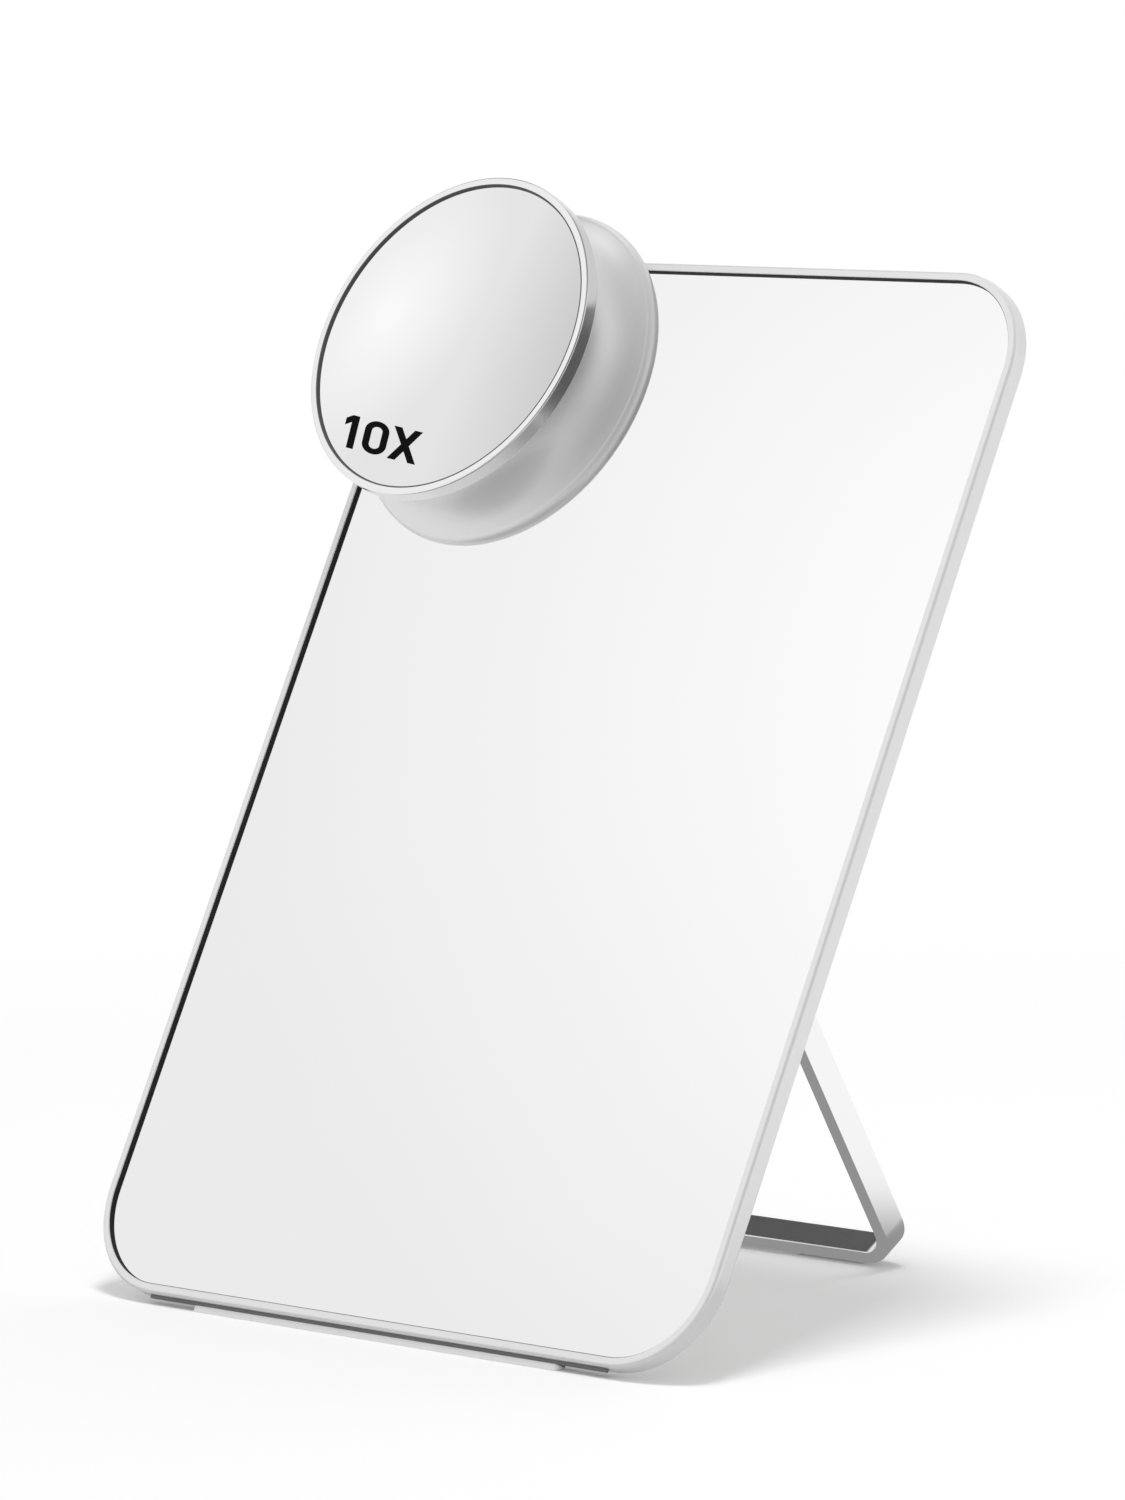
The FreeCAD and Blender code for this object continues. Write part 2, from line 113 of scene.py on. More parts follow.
def linear(hex_colour: str) -> tuple[float, float, float, float]:
    """Turn an sRGB hex colour to linear light.

    Args:
        hex_colour: Colour such as "#C0C1C3".

    Returns:
        Red, green, blue and an alpha of one.
    """
    shares = [int(hex_colour[i : i + 2], 16) / 255 for i in (1, 3, 5)]
    # The sRGB curve is straight for the darkest shares and a power above them.
    red, green, blue = (s / 12.92 if s <= 0.04045 else ((s + 0.055) / 1.055) ** 2.4 for s in shares)
    return red, green, blue, 1.0


def bare_tree(owner: Material | World) -> NodeTree:
    """Turn on the nodes of a new material or world and clear them.

    Args:
        owner: What the nodes belong to.

    Returns:
        Its empty node tree.
    """
    owner.use_nodes = True
    owner.node_tree.nodes.clear()
    return owner.node_tree


def add_node(
    tree: NodeTree,
    kind: str,
    inputs: dict[str | int, object] | None = None,
    **settings: object,
) -> Node:
    """Add a node with its settings and links.

    Args:
        tree: Node tree that gets the node.
        kind: Node type.
        inputs: Socket names or numbers, each with a value, an output or a node. An output, or a
            node's first output, is linked to the socket.
        **settings: Properties of the node.

    Returns:
        The new node.
    """
    made = tree.nodes.new(kind)
    for name, value in settings.items():
        setattr(made, name, value)
    for socket, value in (inputs or {}).items():
        source = value.outputs[0] if isinstance(value, Node) else value
        if isinstance(source, NodeSocket):
            tree.links.new(source, made.inputs[socket])
        else:
            made.inputs[socket].default_value = source
    return made


def editing(on: bool) -> None:
    """Go into edit mode or out of it."""
    bpy.ops.object.mode_set(mode="EDIT" if on else "OBJECT")


def choose_all(part: Part = Part.POINTS, on: bool = True) -> None:
    """Select the whole mesh that is being edited, or none of it."""
    bpy.ops.mesh.select_mode(type=part.value)
    bpy.ops.mesh.select_all(action="SELECT" if on else "DESELECT")


def choose(piece: Object, part: Part, test: Callable[[Vector], bool]) -> None:
    """Select what lies wholly where a test on its points says, in edit mode.

    Args:
        piece: Object that is being edited.
        part: Points, edges or faces.
        test: Says whether a point belongs.
    """
    choose_all(part, False)
    editing(False)
    mesh = piece.data
    inside = {point.index for point in mesh.vertices if test(point.co)}
    if part is Part.POINTS:
        for index in inside:
            mesh.vertices[index].select = True
    else:
        for item in mesh.edges if part is Part.EDGES else mesh.polygons:
            item.select = inside.issuperset(item.vertices)
    editing(True)


def weld() -> None:
    """Merge the points that coincide and turn every face of the edited mesh outwards."""
    choose_all()
    bpy.ops.mesh.remove_doubles(threshold=SAME_PLACE)
    bpy.ops.mesh.normals_make_consistent(inside=False)


def pull(x: float, y: float, z: float) -> None:
    """Extrude what is selected by a step in millimetres."""
    bpy.ops.mesh.extrude_region_move(TRANSFORM_OT_translate={"value": (x, y, z)})


def draw_outline(name: str, corners: Sequence[Corner], closed: bool = True) -> Object:
    """Draw a wire by pulling one point from corner to corner, then round its corners.

    Args:
        name: Name of the piece that starts with this wire.
        corners: Corners in order.
        closed: Whether the last corner joins the first.

    Returns:
        The new object, in edit mode, with the whole wire selected.
    """
    bpy.ops.object.select_all(action="DESELECT")
    bpy.ops.mesh.primitive_plane_add(size=1.0)
    piece = bpy.context.object
    piece.name = piece.data.name = name
    editing(True)
    choose_all()
    bpy.ops.mesh.merge(type="CENTER")
    bpy.ops.transform.translate(value=corners[0].place)
    route = [Vector(corner.place) for corner in corners]
    if closed:
        route.append(route[0])
    for here, there in zip(route, route[1:]):
        pull(*(there - here))
    choose_all()
    bpy.ops.mesh.remove_doubles(threshold=SAME_PLACE)
    for corner in corners:
        if corner.setback:
            place = Vector(corner.place)
            choose(piece, Part.POINTS, lambda point: (point - place).length < SAME_PLACE)
            bpy.ops.mesh.bevel(offset=corner.setback, segments=corner.steps, affect="VERTICES")
    choose_all(Part.EDGES)
    return piece


def turn_on_lathe(name: str, section: Sequence[Row], closed: bool) -> Object:
    """Spin an outline drawn in the plane y = 0 once round the z axis.

    Args:
        name: Name of the piece.
        section: Half section by radius and height.
        closed: Whether the section is a ring's; otherwise both its ends lie on the axis.

    Returns:
        The turned piece, in edit mode.
    """
    piece = draw_outline(name, [Corner((r, 0, z), *edge) for r, z, *edge in section], closed)
    bpy.ops.mesh.spin(steps=LATHE_STEPS, angle=math.tau, center=(0, 0, 0), axis=(0, 0, 1))
    weld()
    return piece


def extrude_outline(name: str, corners: Sequence[Corner], way: Triple) -> Object:
    """Fill a flat outline and extrude it to a closed block.

    Args:
        name: Name of the piece.
        corners: Corners of the outline.
        way: Direction and length of the extrusion.

    Returns:
        The block, in edit mode.
    """
    piece = draw_outline(name, corners)
    bpy.ops.mesh.edge_face_add()
    pull(*way)
    weld()
    return piece


def ease_edges(width: float, steps: int, sharper_than_deg: float = 50.0) -> None:
    """Round every sharp edge of the edited mesh.

    Args:
        width: How far the rounding reaches from the edge.
        steps: Straight pieces across the rounding.
        sharper_than_deg: Least angle between two faces that counts as sharp.
    """
    choose_all(Part.EDGES, False)
    bpy.ops.mesh.edges_select_sharp(sharpness=math.radians(sharper_than_deg))
    bpy.ops.mesh.bevel(offset=width, segments=steps, affect="EDGES")


def apply_modifier(piece: Object, kind: str, **settings: object) -> None:
    """Add a modifier with its settings and apply it.

    Args:
        piece: Active object, in object mode.
        kind: Modifier type.
        **settings: Properties of the modifier.
    """
    made = piece.modifiers.new(kind.lower(), kind)
    for name, value in settings.items():
        setattr(made, name, value)
    bpy.ops.object.modifier_apply(modifier=made.name)


def settle(piece: Object, place: Matrix, smooth_deg: float = 35.0) -> None:
    """Shade a finished mesh, lay it in the model and leave its object at the origin.

    Args:
        piece: Active object, in edit mode.
        place: From the sub-assembly's millimetres to the model's metres.
        smooth_deg: Edges that turn by less than this shade as one surface.
    """
    editing(False)
    bpy.ops.object.shade_smooth_by_angle(angle=math.radians(smooth_deg))
    apply_modifier(piece, "WEIGHTED_NORMAL", keep_sharp=True, weight=FACE_WEIGHT)
    piece.matrix_world = place
    bpy.ops.object.transform_apply(location=True, rotation=True, scale=True)


def arc(centre: Row, radius: float, start_deg: float, end_deg: float, steps: int) -> list[Row]:
    """Points of a round stretch of a half section.

    Args:
        centre: Radius and height of the arc's centre.
        radius: The arc's own radius.
        start_deg: Angle of its first point, from the outward direction.
        end_deg: Angle of its last point.
        steps: Straight pieces along it.

    Returns:
        Rows along the arc, with both ends.
    """
    angles = [math.radians(start_deg + (end_deg - start_deg) * i / steps) for i in range(steps + 1)]
    r, z = centre
    return [(r + radius * math.cos(a), z + radius * math.sin(a)) for a in angles]


@dataclass(frozen=True)
class Finish:
    """A surface as its maker left it: two close colours, a range of gloss and a fine relief.

    Attributes:
        name: The material and how its surface was made.
        colour: Main colour, sRGB hex.
        drift: Colour that it drifts to, sRGB hex.
        drift_mm: Size of the patches of drift.
        roughness: Least and most roughness across the grain.
        grain_mm: Spacing of the relief.
        relief_mm: Height of the relief.
        metallic: One for bare or anodised metal, less for a coat with metal flake.
        grain: How the relief runs.
        stretch: How many times longer than wide a brush mark is.
        specular: Specular level of a surface that isn't metal.
    """

    name: str
    colour: str
    drift: str
    drift_mm: float
    roughness: tuple[float, float]
    grain_mm: float
    relief_mm: float
    metallic: float = 0.0
    grain: Grain = Grain.SPECKLED
    stretch: float = 60.0
    specular: float = 0.5

    def material(self, place: Matrix | None = None) -> Material:
        """Make the finish, or find it if it was made before.

        Args:
            place: Frame that the grain follows. Brush marks run along its z axis, turning marks
                round it.

        Returns:
            The material.
        """
        if self.name in bpy.data.materials:
            return bpy.data.materials[self.name]
        made = bpy.data.materials.new(self.name)
        add = partial(add_node, bare_tree(made))
        place = place or Matrix.Identity(4)
        spot = add("ShaderNodeTexCoord").outputs["Object"]
        along = self.stretch if self.grain is Grain.BRUSHED else 1.0
        laid = add(
            "ShaderNodeMapping",
            {
                "Vector": spot,
                "Location": place.to_translation(),
                "Rotation": place.to_euler(),
                "Scale": (1.0, 1.0, along),
            },
            vector_type="TEXTURE",
        )
        patches = {"Vector": spot, "Scale": 1 / (self.drift_mm * MM), "Detail": DRIFT_DETAIL}
        drift = add("ShaderNodeTexNoise", patches)
        if self.grain is Grain.TURNED:
            rate = math.tau / (WAVE_RATE * self.grain_mm * MM)
            grain = add(
                "ShaderNodeTexWave",
                {"Vector": laid, "Scale": rate, **TURNING_MARKS},
                wave_type="RINGS",
                rings_direction="Z",
            ).outputs["Fac"]
        else:
            specks = {"Vector": laid, "Scale": 1 / (self.grain_mm * MM), "Detail": GRAIN_DETAIL}
            grain = add("ShaderNodeTexNoise", specks)
        colour = add(
            "ShaderNodeMix",
            {SHARE: drift, FIRST: linear(self.colour), SECOND: linear(self.drift)},
            data_type="RGBA",
        ).outputs[MIXED]
        least, most = self.roughness
        gloss = add("ShaderNodeMapRange", {"Value": grain, "To Min": least, "To Max": most})
        relief = add("ShaderNodeBump", {"Height": grain, "Distance": self.relief_mm * MM})
        shader = add(
            "ShaderNodeBsdfPrincipled",
            {
                "Base Color": colour,
                "Metallic": self.metallic,
                "Roughness": gloss,
                "Specular IOR Level": self.specular,
                "Normal": relief,
            },
        )
        add("ShaderNodeOutputMaterial", {"Surface": shader})
        return made


# Powder with pearl flake melts to a skin with a faint orange peel: an even pale sheen.
POWDER_COAT = Finish(
    "pearl powder coat, satin", "#EBEBEB", "#E8E8E8", 40.0, (0.3, 0.34), 0.4, 0.0001, 0.3
)
# Moulded against a spark-eroded tool: a fine even matt that scatters the light.
MOULDED_ABS = Finish(
    "white ABS, moulded matt", "#E9E9E8", "#E4E4E3", 60.0, (0.5, 0.62), 0.35, 0.004
)
# Silver behind clear float glass: a near perfect reflection with the faintest haze.
FLOAT_SILVER = Finish(
    "float glass, silvered", "#EEEEEE", "#ECECEC", 90.0, (0.0, 0.02), 25.0, 0.0, 1.0
)
# Glass sagged over a mould and silvered: the same reflection, a little softer.
BENT_SILVER = Finish(
    "bent glass, silvered", "#E8E8E8", "#E6E6E6", 40.0, (0.0, 0.03), 15.0, 0.0, 1.0
)
# Rubber pushed through a die: dull black with a fine dry tooth.
EXTRUDED_RUBBER = Finish(
    "black rubber, extruded", "#2B2B2C", "#333334", 15.0, (0.6, 0.75), 0.4, 0.006, specular=0.3
)
# Closed-cell foam tape, slit to width: an even dull grey, used as painted contact shadow along the
# frame's bottom edge.
SHADOW_GREY_TAPE = Finish(
    "grey foam tape, slit", "#707071", "#787879", 8.0, (0.75, 0.85), 0.3, 0.006, specular=0.2
)
# Sealant drawn smooth with a tool: an even mid grey with a dull skin, which up the inside of the
# bezel's lip is painted shade.
SEALANT_AS_PAINTED_SHADE = Finish(
    "grey sealant, tooled", "#4E4E4F", "#565657", 10.0, (0.55, 0.7), 0.4, 0.002, specular=0.3
)
# Silicone moulded to shape: soft dark grey that shows dust as paler patches.
MOULDED_SILICONE = Finish(
    "dark silicone, moulded", "#3A3A3B", "#434344", 12.0, (0.55, 0.7), 0.3, 0.005, specular=0.4
)
# Clear silicone, milky where it is thick: pale grey with a soft gloss.
CLEAR_SILICONE = Finish(
    "clear silicone, moulded", "#E9E9EA", "#EDEDED", 6.0, (0.35, 0.45), 0.3, 0.002, specular=0.4
)
# Strip brushed along its length and anodised clear: long soft streaks. Drawn coarser than real.
DRAWN_ALUMINIUM = Finish(
    "aluminium strip, brushed and anodised", "#F9F9F9", "#F6F6F6",
    30.0, (0.14, 0.22), 0.5, 0.0002, 1.0, Grain.BRUSHED,
)
# Bar blasted with glass beads and anodised: an even silvery matt.
BLASTED_ALUMINIUM = Finish(
    "aluminium bar, bead blasted", "#CFD0D2", "#C8C9CB", 20.0, (0.38, 0.5), 0.25, 0.003, 1.0
)
# Ring faced on a lathe and anodised: fine circles stretch a highlight. Drawn coarser than real.
TURNED_ALUMINIUM = Finish(
    "aluminium ring, turned and anodised", "#EFEFEF", "#ECECEC",
    25.0, (0.16, 0.22), 0.6, 0.00002, 1.0, Grain.TURNED,
)
# Lacquer with fine metal flake: a metal's sheen, spread wide, with some of a paint's even shade.
SILVER_LACQUER = Finish(
    "silver lacquer, satin", "#EDEDED", "#E9E9E9", 30.0, (0.36, 0.44), 0.3, 0.0006, 0.55
)
# Steel turned on an automatic lathe: bright, with a slightly uneven sheen.
TURNED_STEEL = Finish(
    "steel pin, turned", "#C2C3C4", "#B8B9BB", 6.0, (0.2, 0.32), 0.2, 0.001, 1.0
)
# Cold rolled sheet: grey with streaks along the rolling.
ROLLED_STEEL = Finish(
    "steel sheet, cold rolled", "#B4B5B6", "#A9AAAC",
    25.0, (0.3, 0.45), 0.4, 0.0015, 1.0, Grain.BRUSHED,
)
# Nickel on a ground magnet: warm and bright with a slight ripple.
NICKEL_PLATE = Finish(
    "nickel plate, bright", "#D0CDC6", "#C6C3BC", 8.0, (0.12, 0.2), 2.0, 0.002, 1.0
)
# Nylon moulded natural: milky and slightly waxy.
MOULDED_NYLON = Finish(
    "natural nylon, moulded", "#D9D6CD", "#D2CFC6", 5.0, (0.42, 0.55), 0.3, 0.003
)
# Grey moulding under the magnifier, with the matt of its tool.
MOULDED_GREY = Finish(
    "grey ABS, moulded matt", "#CDCDCF", "#C6C6C8", 20.0, (0.5, 0.62), 0.35, 0.004
)
# Acrylic adhesive on a pale carrier: slightly wet with small bubbles.
ADHESIVE_FILM = Finish(
    "acrylic adhesive film", "#DEDDD6", "#D6D5CE", 10.0, (0.3, 0.5), 1.5, 0.004
)
# Screen print: dense black that dries with a slight tooth.
SCREEN_INK = Finish(
    "black ink, screen printed", "#050505", "#080808", 4.0, (0.7, 0.85), 0.3, 0.001, specular=0.1
)


@dataclass(frozen=True)
class Places:
    """Where the sub-assemblies lie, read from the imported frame.

    Attributes:
        panel: From the upright panel's millimetres, x right, y back and z up, to the model.
        stand: From the stand's millimetres, z along its arms and origin on the hinge, to the model.
        magnifier: From the magnifier's millimetres, z along its axis off the glass, to the model.
        lean: The panel's lean back from upright, in radians.
        fold: Angle between the panel and the opened stand, in radians.
        hinge_height: The hinge above the table, in millimetres.
    """

    panel: Matrix
    stand: Matrix
    magnifier: Matrix
    lean: float
    fold: float
    hinge_height: float

    @classmethod
    def from_frame(
        cls, glass_front: float, glass_back: float, glass_low: float, pad_middle: float
    ) -> "Places":
        """Work the places out from the joints and from two nodes' boxes.

        Args:
            glass_front: Depth of the glass's face behind the panel's front.
            glass_back: Depth of its back.
            glass_low: Height of its lower edge up the panel.
            pad_middle: Height of the contact pad's middle along the magnifier's axis.

        Returns:
            The places.
        """
        outwards = Vector(joints["magnifier_pull"]["axis"])
        lean = math.asin(outwards.z)
        fold = math.radians(joints["stand_fold"]["range_deg"][1])
        low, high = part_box("mirror_glass")
        foot = Vector(
            (
                (low.x + high.x) / 2,
                low.y - MM * (glass_front * math.cos(lean) + glass_low * math.sin(lean)),
                low.z + MM * (glass_back * math.sin(lean) - glass_low * math.cos(lean)),
            )
        )
        hinge = Vector(joints["stand_fold"]["pos_m"])
        pad_low, pad_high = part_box("contact_pad")
        root = (pad_low + pad_high) / 2 - outwards * pad_middle * MM
        tilted = Matrix.Rotation(-lean, 4, "X")
        leaning = Matrix.Translation(root) @ tilted
        millimetres = Matrix.Scale(MM, 4)
        return cls(
            panel=Matrix.Translation(foot) @ tilted @ millimetres,
            stand=Matrix.Translation(hinge) @ Matrix.Rotation(fold - lean, 4, "X") @ millimetres,
            magnifier=leaning @ Matrix.Rotation(math.pi / 2, 4, "X") @ millimetres,
            lean=lean,
            fold=fold,
            hinge_height=hinge.z / MM,
        )


def dress(piece: Object, look: Material, body: str, slot: str | None, *nodes: str) -> None:
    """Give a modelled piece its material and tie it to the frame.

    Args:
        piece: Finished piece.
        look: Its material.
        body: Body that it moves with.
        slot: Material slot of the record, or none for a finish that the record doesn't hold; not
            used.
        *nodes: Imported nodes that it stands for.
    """
    piece.data.materials.clear()
    piece.data.materials.append(look)
    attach(piece, body)
    if nodes:
        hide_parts(*nodes)
    log.info("%s: %d faces, rides on %s", piece.name, len(piece.data.polygons), body)


def dress_nodes(looks: dict[str, Material]) -> None:
    """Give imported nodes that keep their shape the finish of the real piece.

    Args:
        looks: Material of each node.
    """
    for name, look in looks.items():
        frame["nodes"][name].data.materials.clear()
        frame["nodes"][name].data.materials.append(look)
        log.info("%s: packed shape, %s", name, look.name)


@dataclass
class Panel:
    """The leaning panel, upright in its own frame: x right, y back from its face, z up."""

    width: float = 200.0
    height: float = 280.0
    corner_r: float = 25.0
    lip_w: float = 2.3
    lip_t: float = 0.6
    wall_t: float = 1.2
    depth: float = 5.0
    front_edge_r: float = 1.0
    rear_edge_r: float = 0.8
    lip_edge_r: float = 0.2
    sheet_gap: float = 0.15
    gasket_t: float = 0.5
    shade_lining_front: float = 0.27
    gasket_reach: float = 0.15
    gasket_nose_r: float = 0.07
    glass_t: float = 2.0
    arris: float = 0.2
    foot_from_corner: float = 15.0
    foot_w: float = 2.8
    foot_proud: float = 0.6
    foot_tape_t: float = 0.9
    foot_tape_end_w: float = 0.9
    foot_tape_edge_r: float = 0.125
    foot_end_r: float = 1.3
    foot_end_steps: int = 8
    foot_edge_r: float = 0.25

    @property
    def sheet_inset(self) -> float:
        """How far the sheets lie inside the frame's outline."""
        return self.wall_t + self.sheet_gap

    @property
    def glass_front(self) -> float:
        """Depth of the glass's face."""
        return self.lip_t + self.gasket_t

    def sweep(self, name: str, section: Sequence[Row]) -> Object:
        """Carry a section round the panel's outline in four straight runs and four turned corners.

        Args:
            name: Name of the piece.
            section: Section by distance inside the outline and depth behind the front.

        Returns:
            The closed ring, in edit mode.
        """
        across = self.width - 2 * self.corner_r
        up = self.height - 2 * self.corner_r
        x, low, high = across / 2, self.corner_r, self.height - self.corner_r
        side = self.width / 2
        corners = [Corner((side - inset, y, low), *edge) for inset, y, *edge in section]
        piece = draw_outline(name, corners)
        for step, centre in (
            ((0, 0, up), (x, 0, high)),
            ((-across, 0, 0), (-x, 0, high)),
            ((0, 0, -up), (-x, 0, low)),
            ((across, 0, 0), (x, 0, low)),
        ):
            pull(*step)
            bpy.ops.mesh.spin(steps=CORNER_STEPS, angle=math.pi / 2, center=centre, axis=(0, 1, 0))
        weld()
        return piece

    def frame_moulding(self) -> Object:
        """The coated frame: a wall with an eased outer edge and a lip over the glass.

        Returns:
            The frame, in edit mode.
        """
        section = [
            (0, self.depth, self.rear_edge_r),
            (0, 0, self.front_edge_r),
            (self.lip_w, 0, self.lip_edge_r, FINE_STEPS),
            (self.lip_w, self.lip_t),
            (self.wall_t, self.lip_t),
            (self.wall_t, self.depth),
        ]
        return self.sweep("frame_moulding", section)

    def gasket_bead(self) -> Object:
        """The dark gasket between the lip and the glass; where it also lines the inside of the lip,
        its dark is painted shade of that recess.

        Returns:
            The gasket, in edit mode.
        """
        inner = self.lip_w + self.gasket_reach
        section = [
            (self.sheet_inset, self.glass_front),
            (self.sheet_inset, self.lip_t),
            (self.lip_w, self.lip_t),
            (self.lip_w, self.shade_lining_front),
            (inner, self.shade_lining_front, self.gasket_nose_r, FINE_STEPS),
            (inner, self.glass_front),
        ]
        return self.sweep("gasket_bead", section)

    def silvered_sheet(self) -> Object:
        """The big mirror with its edges ground to a narrow arris.

        Returns:
            The sheet, in edit mode.
        """
        x = self.width / 2 - self.sheet_inset
        low, high = self.sheet_inset, self.height - self.sheet_inset
        turn = self.corner_r - self.sheet_inset
        corners = [
            Corner((side, self.glass_front, z), turn, CORNER_STEPS)
            for side, z in ((x, low), (x, high), (-x, high), (-x, low))
        ]
        piece = extrude_outline("silvered_sheet", corners, (0, self.glass_t, 0))
        ease_edges(self.arris, ARRIS_STEPS)
        return piece

    @property
    def foot_half(self) -> float:
        """Half the length of the strip under the frame."""
        return self.width / 2 - self.corner_r - self.foot_from_corner

    @property
    def foot_back(self) -> float:
        """Depth of the strip's back."""
        return self.depth - self.rear_edge_r

    def shadow_line_tape(self) -> Object:
        """The grey foam tape that holds the strip; it runs on as a narrow bead to the corners, a
        dark line of painted contact shadow under the frame.

        Returns:
            The tape, in edit mode.
        """
        half, back, front = self.foot_half, self.foot_back, self.foot_back - self.foot_w
        end, bead = self.width / 2 - self.corner_r, front + self.foot_tape_end_w
        right = [(end, front), (end, bead), (half, bead), (half, back)]
        plan = [Corner((x, y, 0)) for x, y in right + [(-x, y) for x, y in reversed(right)]]
        piece = extrude_outline("shadow_line_tape", plan, (0, 0, -self.foot_tape_t))
        ease_edges(self.foot_tape_edge_r, ARRIS_STEPS)
        return piece

    def foot_rubber(self, lean: float) -> Object:
        """The clear strip under the tape, cut flat for the table.

        Args:
            lean: The panel's lean, in radians.

        Returns:
            The strip, in edit mode.
        """
        drop = self.depth * math.sin(lean) + self.foot_proud
        half, back, front = self.foot_half, self.foot_back, self.foot_back - self.foot_w
        sides = ((half, back), (half, front), (-half, front), (-half, back))
        top, turn = -self.foot_tape_t, self.foot_end_r
        plan = [Corner((x, y, top), turn, self.foot_end_steps) for x, y in sides]
        piece = extrude_outline("foot_rubber", plan, (0, 0, -2 * drop))
        choose_all()
        bpy.ops.mesh.bisect(
            plane_co=(0, 0, -drop / math.cos(lean)),
            plane_no=(0, math.sin(lean), -math.cos(lean)),
            clear_outer=True,
            use_fill=True,
        )
        weld()
        ease_edges(self.foot_edge_r, FINE_STEPS)
        return piece

    def build(self, places: Places) -> None:
        """Model the pieces that show, lay them in the frame and dress all of the panel.

        Args:
            places: Where the sub-assemblies lie.
        """
        for model, look, slot, nodes in (
            (self.gasket_bead, EXTRUDED_RUBBER, "dark_gasket", ["glass_gasket"]),
            (self.frame_moulding, POWDER_COAT, "satin_white", ["front_frame"]),
            (self.silvered_sheet, FLOAT_SILVER, "mirror", ["mirror_glass"]),
            (partial(self.foot_rubber, places.lean), CLEAR_SILICONE, "soft_grey", ["foot_strip"]),
            # The tape's dark grey, run on to the corners, is painted contact shadow under the
            # frame.
            (self.shadow_line_tape, SHADOW_GREY_TAPE, "soft_grey", []),
        ):
            made = model()
            settle(made, places.panel)
            dress(made, look.material(), "panel", slot, *nodes)
        dress_nodes(
            {
                "back_panel": MOULDED_ABS.material(),
                "glass_tape": ADHESIVE_FILM.material(),
                "panel_tape": ADHESIVE_FILM.material(),
                "steel_backing": ROLLED_STEEL.material(places.panel),
                "hinge_bar": BLASTED_ALUMINIUM.material(),
                "hinge_screws": ROLLED_STEEL.material(places.panel),
                "pivot_pins": TURNED_STEEL.material(),
                "spring_washers": TURNED_STEEL.material(),
                "friction_washers": MOULDED_NYLON.material(),
            }
        )


